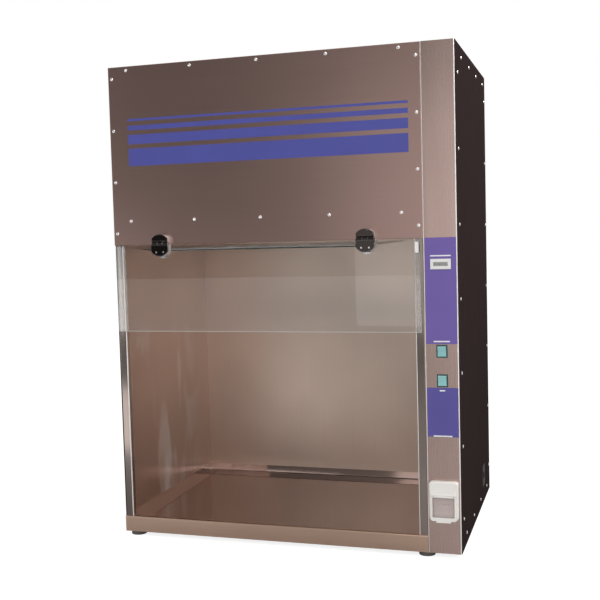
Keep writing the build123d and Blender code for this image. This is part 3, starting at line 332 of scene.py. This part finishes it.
foot_rubber = plain_finish("foot_rubber", (0.11, 0.10, 0.095), 0.62, grain=0.35, grain_scale=1400.0)
low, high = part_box("feet")
foot_radius = 0.020
foot_height = high.z - low.z
foot_outline = [
    (0.0, 0.004),
    (0.0065, 0.004),
    (0.0075, 0.003),
    (0.0075, 0.0008),
    (0.0085, 0.0),
    (foot_radius - 0.002, 0.0),
    (foot_radius - 0.0005, 0.0006),
    (foot_radius, 0.002),
    (foot_radius - 0.0006, foot_height - 0.002),
    (foot_radius - 0.0024, foot_height),
    (0.0, foot_height),
]
feet_mesh = bmesh.new()
for x in (low.x + foot_radius, high.x - foot_radius):
    for y in (low.y + foot_radius, high.y - foot_radius):
        turned(feet_mesh, foot_outline, Matrix.Translation((x, y, low.z)), segments=40)
close_up(feet_mesh)
soft_edges(feet_mesh)
new_piece("foot_pads", feet_mesh, foot_rubber, "cabinet", ("feet",))


# Skins: the right, left and rear panels, sheet steel painted in a dark, dull brown-black.
# They are riveted to the flanges behind them.
panel_paint = plain_finish(
    "panel_paint", (0.030, 0.021, 0.020), 0.50, grain=0.10, grain_scale=600.0, mottle=0.05,
    Specular_IOR_Level=0.0,
)
finish_nodes(panel_paint, "right_side_panel", "left_side_panel", "rear_panel")


# Frame: two folded posts and the full-height control column, brushed stainless sheet.
# Their bends get a near-white, less metallic finish, a painted highlight along each bend.
def merged(node):
    """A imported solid's loose triangles joined into whole faces."""
    mesh = bmesh.new()
    mesh.from_mesh(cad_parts[node].data)
    bmesh.ops.remove_doubles(mesh, verts=mesh.verts, dist=0.00001)
    bmesh.ops.dissolve_limit(
        mesh, angle_limit=math.radians(0.5), verts=mesh.verts, edges=mesh.edges, delimit={"NORMAL"}
    )
    return mesh


def smoothed_copy(node, name, material, angle=30, bevel=0.0, segments=2, body="cabinet"):
    """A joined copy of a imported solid, so that its bends shade round and its edges catch the light."""
    mesh = merged(node)
    soft_edges(mesh, angle)
    piece = new_piece(name, mesh, material, body, (node,))
    if bevel:
        edge = piece.modifiers.new("edge", "BEVEL")
        edge.width = bevel
        edge.segments = segments
        edge.limit_method = "ANGLE"
        edge.angle_limit = math.radians(angle)
        edge.harden_normals = True
    return piece


def refinish(piece, material, picked):
    """Gives the picked faces of a finished piece another finish."""
    piece.data.materials.append(material)
    for face in piece.data.polygons:
        if picked(face):
            face.material_index = len(piece.data.materials) - 1


# The posts get a darker copy of the brushed steel with strong clouds: painted shade and painted reflection
# of a dark room.
post_steel = steel_finish("post_steel", (0.30, 0.245, 0.22), 0.13, along_z, cloud=0.25)
column_steel = steel_finish("column_steel", (0.54, 0.395, 0.35), 0.27, along_z, streak=0.012, bump=0.003)
bend_highlight = plain_finish("bend_highlight", (0.92, 0.88, 0.86), 0.30, mottle=0.02, Metallic=0.4)
left_post = smoothed_copy("left_post", "left_post_sheet", post_steel)
right_post = smoothed_copy("right_post", "right_post_sheet", post_steel)
column = smoothed_copy("control_column", "column_sheet", column_steel)
# The bend faces of the posts and the column take the painted highlight.
refinish(left_post, bend_highlight, lambda face: face.normal.x > 0.15 and face.normal.y < -0.15)
refinish(right_post, bend_highlight, lambda face: face.normal.x < -0.15 and face.normal.y < -0.15)
refinish(column, bend_highlight, lambda face: abs(face.normal.x) > 0.15 and face.normal.y < -0.15)


# Chamber lining: two side sheets and the rear wall in satin stainless, brushed upright.
# They hang inside the tray's upstands. The left one has a smear pattern over its lower front, painted
# lighter and less metallic there as painted light.
chamber_steel = steel_finish("chamber_steel", (0.60, 0.465, 0.39), 0.36, along_z, cloud=0.12)
smears_and_painted_light_steel = steel_finish("smears_and_painted_light_steel", (0.50, 0.385, 0.335), 0.30, along_z, cloud=0.10)
nodes, links = smears_and_painted_light_steel.node_tree.nodes, smears_and_painted_light_steel.node_tree.links
shader = nodes["Principled BSDF"]
clean_colour = shader.inputs["Base Color"].links[0].from_socket
place = nodes.new("ShaderNodeTexCoord")
split = nodes.new("ShaderNodeSeparateXYZ")
links.new(place.outputs["Object"], split.inputs[0])
stretch = nodes.new("ShaderNodeMapping")
stretch.inputs["Scale"].default_value = (1.0, 9.0, 2.6)
links.new(place.outputs["Object"], stretch.inputs["Vector"])
cloth = noise(nodes, links, stretch.outputs[0], 1.0, 5.0)
cloth.inputs["Distortion"].default_value = 0.8
# The mask: smears, limited to the lower front, where a lighter colour is painted in as painted light.
lit_smear_patch = None
for source, start, end in (
    (cloth.outputs["Fac"], 0.44, 0.62),
    (split.outputs["Z"], 0.60, 0.40),
    (split.outputs["Y"], 0.20, 0.02),
):
    share = ranged(nodes, links, source, 0.0, 1.0, start, end)
    share.interpolation_type = "SMOOTHSTEP"
    if lit_smear_patch is None:
        lit_smear_patch = share.outputs[0]
    else:
        both = nodes.new("ShaderNodeMath")
        both.operation = "MULTIPLY"
        links.new(lit_smear_patch, both.inputs[0])
        links.new(share.outputs[0], both.inputs[1])
        lit_smear_patch = both.outputs[0]
lit_patch_colour = nodes.new("ShaderNodeMix")
lit_patch_colour.data_type = "RGBA"
links.new(lit_smear_patch, lit_patch_colour.inputs["Factor"])
links.new(clean_colour, lit_patch_colour.inputs[6])
lit_patch_colour.inputs[7].default_value = (0.62, 0.54, 0.50, 1)
links.new(lit_patch_colour.outputs[2], shader.inputs["Base Color"])
lit_patch_metallic = 0.45
dry = ranged(nodes, links, lit_smear_patch, 1.0, lit_patch_metallic)
links.new(dry.outputs[0], shader.inputs["Metallic"])
finish_nodes(chamber_steel, "right_chamber_wall", "rear_chamber_wall")
finish_nodes(smears_and_painted_light_steel, "left_chamber_wall")


# Worktop tray: one folded sheet, mirror-polished on its floor and upstands.
# It lies on the rails, and its front lip is brushed.
tray_steel = steel_finish("tray_steel", (0.58, 0.46, 0.415), 0.07, along_x, streak=0.015, bump=0.002)
lip_steel = steel_finish("lip_steel", (0.62, 0.43, 0.33), 0.30, along_x)
tray = smoothed_copy("worktop_tray", "tray_sheet", tray_steel)
tray_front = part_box("worktop_tray")[0].y
lip_depth = 0.0145
refinish(tray, lip_steel, lambda face: face.center.y < tray_front + lip_depth)


# Ceiling and filters: a slotted steel pan carries a foam gasket, a white fibre pad and the cartridge of
# granular carbon in its board frame.
ceiling_steel = steel_finish("ceiling_steel", (0.45, 0.40, 0.36), 0.34, along_x)
finish_nodes(ceiling_steel, "ceiling_panel")
black_rubber = plain_finish("black_rubber", (0.030, 0.029, 0.028), 0.62, grain=0.5, grain_scale=1500.0)
finish_nodes(black_rubber, "filter_gasket", "fascia_gasket", "clamp_pads")
pad_fibre = plain_finish("pad_fibre", (0.80, 0.80, 0.77), 0.95, grain=1.0, grain_scale=420.0)
finish_nodes(pad_fibre, "prefilter_pad")
cartridge_board = plain_finish("cartridge_board", (0.74, 0.73, 0.70), 0.62, grain=0.2)
finish_nodes(cartridge_board, "filter_frame")
carbon_grain = plain_finish(
    "carbon_grain", (0.030, 0.030, 0.031), 0.72, grain=1.0, grain_scale=260.0, mottle=0.4
)
finish_nodes(carbon_grain, "carbon_bed")


# Blower: a scroll casing and a bladed wheel of galvanised sheet, hung under the top.
# The motor beside it is painted, and its shaft is ground steel.
galvanised = bpy.data.materials.new("galvanised")
galvanised.use_nodes = True
nodes, links = galvanised.node_tree.nodes, galvanised.node_tree.links
shader = nodes["Principled BSDF"]
shader.inputs["Metallic"].default_value = 1.0
place = nodes.new("ShaderNodeTexCoord")
spangle = nodes.new("ShaderNodeTexVoronoi")
spangle.inputs["Scale"].default_value = 90.0
links.new(place.outputs["Object"], spangle.inputs["Vector"])
zinc = ranged(nodes, links, spangle.outputs["Color"], 0.40, 0.58)
zinc_tint = nodes.new("ShaderNodeCombineXYZ")
for axis in range(3):
    links.new(zinc.outputs[0], zinc_tint.inputs[axis])
links.new(zinc_tint.outputs[0], shader.inputs["Base Color"])
dull = ranged(nodes, links, spangle.outputs["Color"], 0.34, 0.52)
links.new(dull.outputs[0], shader.inputs["Roughness"])
finish_nodes(galvanised, "blower_housing", "blower_wheel")
motor_paint = plain_finish("motor_paint", (0.035, 0.037, 0.040), 0.48, grain=0.3)
smoothed_copy("motor", "motor_body", motor_paint, bevel=0.003, segments=4)
bright_steel = steel_finish("bright_steel", (0.62, 0.61, 0.60), 0.20, along_x)
finish_nodes(bright_steel, "motor_shaft", "hinge_pins", "lid_pin")


# Top: a folded steel pan riveted inside the skins.
# The slotted exhaust grille lies on it over the blower's outlet.
finish_nodes(column_steel, "top_panel")
smoothed_copy("exhaust_grille", "grille_plate", column_steel, bevel=0.0005)


# Lamp: a white enamelled batten behind the fascia's skirt, with a moulded holder at each end.
# The glass tube hangs between the holders, and the ballast is fixed outside the right chamber wall.
white_enamel = plain_finish("white_enamel", (0.80, 0.80, 0.78), 0.30, grain=0.05)
finish_nodes(white_enamel, "lamp_batten", "ballast")
white_plastic = plain_finish("white_plastic", (0.83, 0.80, 0.76), 0.30, grain=0.05, mottle=0.02)
smoothed_copy("lampholders", "lamp_sockets", white_plastic, bevel=0.0006)
tube_glass = plain_finish("tube_glass", (0.86, 0.88, 0.88), 0.22, Coat_Weight=0.6)
lamp_low, lamp_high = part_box("lamp_tube")
tube_radius = (lamp_high.z - lamp_low.z) / 2
tube_length = lamp_high.x - lamp_low.x
tube_outline = [
    (0.0, 0.0),
    (tube_radius - 0.0016, 0.0),
    (tube_radius - 0.0010, 0.0006),
    (tube_radius - 0.0010, 0.0080),
    (tube_radius, 0.0110),
    (tube_radius, tube_length - 0.0110),
    (tube_radius - 0.0010, tube_length - 0.0080),
    (tube_radius - 0.0010, tube_length - 0.0006),
    (tube_radius - 0.0016, tube_length),
    (0.0, tube_length),
]
tube_mesh = bmesh.new()
lamp_middle = (lamp_low + lamp_high) / 2
lamp_end = Matrix.Translation((lamp_low.x, lamp_middle.y, lamp_middle.z))
turned(tube_mesh, tube_outline, lamp_end @ Matrix.Rotation(math.radians(90), 4, "Y"), segments=36)
close_up(tube_mesh)
soft_edges(tube_mesh)
new_piece("lamp_glass_tube", tube_mesh, tube_glass, "cabinet", ("lamp_tube",))
terminal_plastic = plain_finish("terminal_plastic", (0.70, 0.69, 0.64), 0.48, grain=0.1)
finish_nodes(terminal_plastic, "terminal_block")


# Fascia: a shallow stainless pan over the filter space, brushed across and satin.
# It hangs on the posts by eighteen blind rivets, with a strip of gasket behind it.
fascia_steel = steel_finish("fascia_steel", (0.43, 0.288, 0.255), 0.30, along_x, cloud=0.04)
finish_nodes(fascia_steel, "fascia_panel")


def spread(low, high, count):
    """Evenly spaced positions from low to high, both included."""
    return [low + (high - low) * i / (count - 1) for i in range(count)]


rivet_steel = steel_finish("rivet_steel", (0.90, 0.87, 0.85), 0.32, (300, 300, 300))
rivet_radius = 0.0042
rivet_height = 0.0015
rivet_outline = [
    (0.0, rivet_height),
    (0.0012, rivet_height * 0.98),
    (0.0016, rivet_height * 0.82),
    (0.0026, rivet_height * 0.74),
    (0.0036, rivet_height * 0.45),
    (rivet_radius, 0.0),
]


def rivets(mesh, points, turn):
    """One blind rivet's low dome, with the dimple of its mandrel, at each point of a skin."""
    for point in points:
        turned(mesh, rivet_outline, Matrix.Translation(point) @ turn, segments=16)


fascia_low, fascia_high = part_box("fascia_panel")
edge_inset = 0.010
row_inset = 0.050
column_inset = 0.030
ceiling_rise = 0.0133
rivet_rows = (fascia_high.z - edge_inset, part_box("ceiling_panel")[0].z + ceiling_rise)
fascia_points = [
    (x, fascia_low.y, z)
    for x in spread(fascia_low.x + row_inset, fascia_high.x - row_inset, 5)
    for z in rivet_rows
]
fascia_points += [
    (x, fascia_low.y, z)
    for x in (fascia_low.x + edge_inset, fascia_high.x - edge_inset)
    for z in spread(fascia_low.z + column_inset, fascia_high.z - column_inset, 4)
]
rivet_mesh = bmesh.new()
rivets(rivet_mesh, fascia_points, Matrix.Rotation(math.radians(90), 4, "X"))
close_up(rivet_mesh)
soft_edges(rivet_mesh, 50)
new_piece("fascia_rivet_heads", rivet_mesh, rivet_steel, "cabinet", ("fascia_rivets",))


# Print on the fascia: four plain stripes of ink, screened straight on the steel.
# Each is thinner than the one below it.
def block(mesh, low, high):
    """A box from one corner to the other."""
    size = Vector(high) - Vector(low)
    middle = (Vector(high) + Vector(low)) / 2
    place = Matrix.Translation(middle) @ Matrix.Diagonal((*size, 1))
    return bmesh.ops.create_cube(mesh, size=1, matrix=place)["verts"]


stripe_ink = plain_finish("stripe_ink", (0.066, 0.072, 0.33), 0.42, mottle=0.05)
ink_thickness = 0.0001
stripe_x = (fascia_low.x + 0.050, fascia_high.x - 0.030)
stripe_gap = 0.011
stripe_low = 0.961
stripe_mesh = bmesh.new()
for stripe_height in (0.044, 0.024, 0.012, 0.006):
    block(
        stripe_mesh,
        (stripe_x[0], fascia_low.y - ink_thickness, stripe_low),
        (stripe_x[1], fascia_low.y, stripe_low + stripe_height),
    )
    stripe_low += stripe_height + stripe_gap
new_piece("fascia_stripes", stripe_mesh, stripe_ink, "cabinet")


# Side rivets: blind rivets through both side skins, into the flanges behind them.
# A column of them runs near the front and rear edges, and a row near the top and bottom.
panel_low, panel_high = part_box("right_side_panel")
row_rise = 0.026
low_row = spread(panel_low.y + 0.088, panel_high.y - 0.078, 4)
high_row = spread(panel_low.y + 0.107, panel_high.y - 0.059, 4)
columns = (panel_low.y + 0.040, panel_high.y - 0.020)
side_points = [(y, panel_low.z + row_rise) for y in low_row]
side_points += [(y, panel_high.z - row_rise) for y in high_row]
side_points += [(y, z) for y in columns for z in spread(panel_low.z + 0.074, panel_high.z - 0.070, 7)]
left_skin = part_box("left_side_panel")[0].x
side_mesh = bmesh.new()
rivets(side_mesh, [(panel_high.x, y, z) for y, z in side_points], Matrix.Rotation(math.radians(90), 4, "Y"))
rivets(side_mesh, [(left_skin, y, z) for y, z in side_points], Matrix.Rotation(math.radians(-90), 4, "Y"))
close_up(side_mesh)
soft_edges(side_mesh, 50)
new_piece("side_rivet_heads", side_mesh, rivet_steel, "cabinet", ("side_rivets",))


# Sash: a pane of 5 mm toughened glass, hung from its two hinges.
# Its edges are ground bright at the corners and look green in the pane's depth.
pane_glass = bpy.data.materials.new("pane_glass")
pane_glass.use_nodes = True
nodes, links = pane_glass.node_tree.nodes, pane_glass.node_tree.links
shader = nodes["Principled BSDF"]
shader.inputs["Base Color"].default_value = (0.91, 0.925, 0.925, 1)
shader.inputs["Transmission Weight"].default_value = 1.0
shader.inputs["IOR"].default_value = 1.5
shader.inputs["Specular IOR Level"].default_value = 0.10
place = nodes.new("ShaderNodeTexCoord")
smear = noise(nodes, links, place.outputs["Object"], 6.0, 2.0)
haze = ranged(nodes, links, smear.outputs["Fac"], 0.0, 0.012)
links.new(haze.outputs[0], shader.inputs["Roughness"])
edge_glass = plain_finish("edge_glass", (0.35, 0.72, 0.64), 0.12, mottle=0.1, Coat_Weight=0.6)
ground_edge = plain_finish("ground_edge", (0.90, 0.96, 0.94), 0.30, mottle=0.02)
shaded_edge = plain_finish("shaded_edge", (0.16, 0.16, 0.145), 0.30, mottle=0.05)
pane_mesh = merged("sash_glass")
green_slot, ground_slot, shaded_slot = 1, 2, 3
for face in pane_mesh.faces:
    if face.normal.z > 0.5:
        face.material_index = shaded_slot
    elif abs(face.normal.y) < 0.5:
        face.material_index = green_slot
glass_low, glass_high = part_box("sash_glass")
near = 0.0001
ground_width = 0.0011


def on_rim(vert):
    """True for a point on the pane's left, right or lower edge."""
    reach = min(vert.co.x - glass_low.x, glass_high.x - vert.co.x, vert.co.z - glass_low.z)
    return reach < near and vert.co.z < glass_high.z - near


rim_edges = [
    edge
    for edge in pane_mesh.edges
    if len({face.material_index for face in edge.link_faces}) == 2 and all(on_rim(v) for v in edge.verts)
]
bmesh.ops.bevel(
    pane_mesh,
    geom=rim_edges,
    offset=ground_width,
    affect="EDGES",
    segments=1,
    profile=0.5,
    material=ground_slot,
)
pane = new_piece("sash_pane", pane_mesh, pane_glass, "sash", ("sash_glass",))
pane.data.materials.append(edge_glass)
pane.data.materials.append(ground_edge)
pane.data.materials.append(shaded_edge)


# Hinges: round clamps in polished chrome, coloured near-black as a painted reflection of a dark room, and
# with near-white sides as a painted highlight. The upper leaf is fixed to the fascia, and the lower one
# grips the glass against a steel plate, with a stud through its hole and two set screws beside it.
# The near-black chrome colour is a painted dark reflection. The bevels keep the bright chrome.
chrome_painted_dark = plain_finish("chrome_painted_dark", (0.060, 0.050, 0.047), 0.05, mottle=0.05, Metallic=1.0)
bright_chrome = plain_finish("bright_chrome", (0.82, 0.80, 0.79), 0.12, mottle=0.02, Metallic=1.0)
rim_highlight = plain_finish("rim_highlight", (0.90, 0.87, 0.85), 0.42, mottle=0.02, Metallic=0.8)
for leaves, leaf_shape, leaf_body in (
    ("fixed_leaves", "hinge_upper_leaves", "cabinet"),
    ("sash_leaves", "hinge_lower_leaves", "sash"),
):
    leaf_piece = smoothed_copy(
        leaves, leaf_shape, chrome_painted_dark, bevel=0.0009, segments=3, body=leaf_body
    )
    # The side faces take a near-white finish: a painted highlight.
    refinish(leaf_piece, rim_highlight, lambda face: abs(face.normal.y) < 0.3 and abs(face.normal.x) > 0.3)
    leaf_piece.data.materials.append(bright_chrome)
    leaf_piece.modifiers["edge"].material = len(leaf_piece.data.materials) - 1
smoothed_copy(
    "clamp_plates", "clamp_back_plates", bright_steel, bevel=0.0006, segments=3, body="sash"
)
leaf_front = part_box("sash_leaves")[0].y
plates_low, plates_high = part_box("clamp_plates")
plate_radius = (plates_high.z - plates_low.z) / 2
hinge_middles = (plates_low.x + plate_radius, plates_high.x - plate_radius)
screw_height = (plates_high.z + plates_low.z) / 2 + 0.001
screw_reach = 0.0095
screw_outline = [
    (0.0, 0.0001),
    (0.0011, 0.0001),
    (0.0012, 0.0006),
    (0.0019, 0.0006),
    (0.0023, 0.0002),
    (0.0023, -0.0005),
]
screw_mesh = bmesh.new()
for middle in hinge_middles:
    for reach in (-screw_reach, screw_reach):
        seat = Matrix.Translation((middle + reach, leaf_front, screw_height))
        turned(screw_mesh, screw_outline, seat @ Matrix.Rotation(math.radians(90), 4, "X"), segments=20)
close_up(screw_mesh)
soft_edges(screw_mesh)
new_piece("set_screws", screw_mesh, bright_chrome, "sash")


# Sash contact: a small white plastic magnet case, stuck on the glass.
# Its reed switch sits behind the front of the right post.
smoothed_copy(
    "sash_magnet", "magnet_case", white_plastic, bevel=0.0012, segments=3, body="sash"
)
smoothed_copy("sash_contact", "contact_case", white_plastic, bevel=0.0012, segments=3)


# Labels: violet-blue printed films stuck on the column.
# Plain white bars of ink stand where captions would be.
label_film = plain_finish("label_film", (0.150, 0.098, 0.365), 0.45, mottle=0.05)
# The lower label is the same film, painted darker as painted shade.
shaded_lower_film = plain_finish("shaded_lower_film", (0.092, 0.076, 0.315), 0.45, mottle=0.05)
finish_nodes(label_film, "upper_label")
finish_nodes(shaded_lower_film, "lower_label")
white_ink = plain_finish("white_ink", (0.82, 0.82, 0.80), 0.45)
label_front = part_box("upper_label")[0].y
bar_height = 0.003
caption_mesh = bmesh.new()
for bar_start, bar_end, bar_middle in (
    (0.376, 0.424, 0.7185),
    (0.381, 0.419, 0.518),
    (0.393, 0.406, 0.402),
    (0.377, 0.421, 0.294),
):
    block(
        caption_mesh,
        (bar_start, label_front - ink_thickness, bar_middle - bar_height / 2),
        (bar_end, label_front, bar_middle + bar_height / 2),
    )
new_piece("label_bars", caption_mesh, white_ink, "cabinet")


# Hour meter: a moulded white bezel snapped through the label, with a dark register behind a clear
# window.
meter_white = plain_finish("meter_white", (0.80, 0.79, 0.76), 0.32)
smoothed_copy("hour_meter", "meter_bezel", meter_white, bevel=0.0006, segments=3)
window_clear = plain_finish("window_clear", (0.10, 0.10, 0.11), 0.08, mottle=0.02, Alpha=0.30)
finish_nodes(window_clear, "meter_window")


# Switches: dark moulded frames snapped into the column between the labels.
# Each holds a green translucent rocker.
switch_black = plain_finish("switch_black", (0.008, 0.055, 0.050), 0.34, grain=0.1)
rocker_green = plain_finish("rocker_green", (0.27, 0.56, 0.56), 0.14, Coat_Weight=0.5, Subsurface_Weight=0.1)
for switch_name in ("fan", "lamp"):
    smoothed_copy(
        switch_name + "_switch_frame", switch_name + "_switch_case", switch_black,
        bevel=0.0005,
    )
    smoothed_copy(
        switch_name + "_rocker", switch_name + "_rocker_lens", rocker_green,
        bevel=0.0005, segments=3, body=switch_name + "_switch",
    )


# Mains outlet: a moulded white box screwed to the column, with a square socket in it.
# A hinged lid with a clear pane hangs over the socket.
smoothed_copy("outlet_box", "outlet_case", white_plastic, bevel=0.0008, segments=3)
smoothed_copy("outlet_socket", "socket_insert", white_plastic, bevel=0.0004)
smoothed_copy(
    "outlet_lid", "outlet_cover", white_plastic, bevel=0.0006, segments=3, body="lid"
)
pane_smoke = plain_finish("pane_smoke", (0.62, 0.50, 0.48), 0.12, mottle=0.02, Alpha=0.35)
finish_nodes(pane_smoke, "lid_window")


# Mains inlet: a black moulded appliance inlet, set low in the right side.
# Its flange lies on the skin.
inlet_black = plain_finish("inlet_black", (0.018, 0.016, 0.016), 0.42, grain=0.2, Specular_IOR_Level=0.06)
smoothed_copy("mains_inlet", "inlet_body", inlet_black, bevel=0.0005)
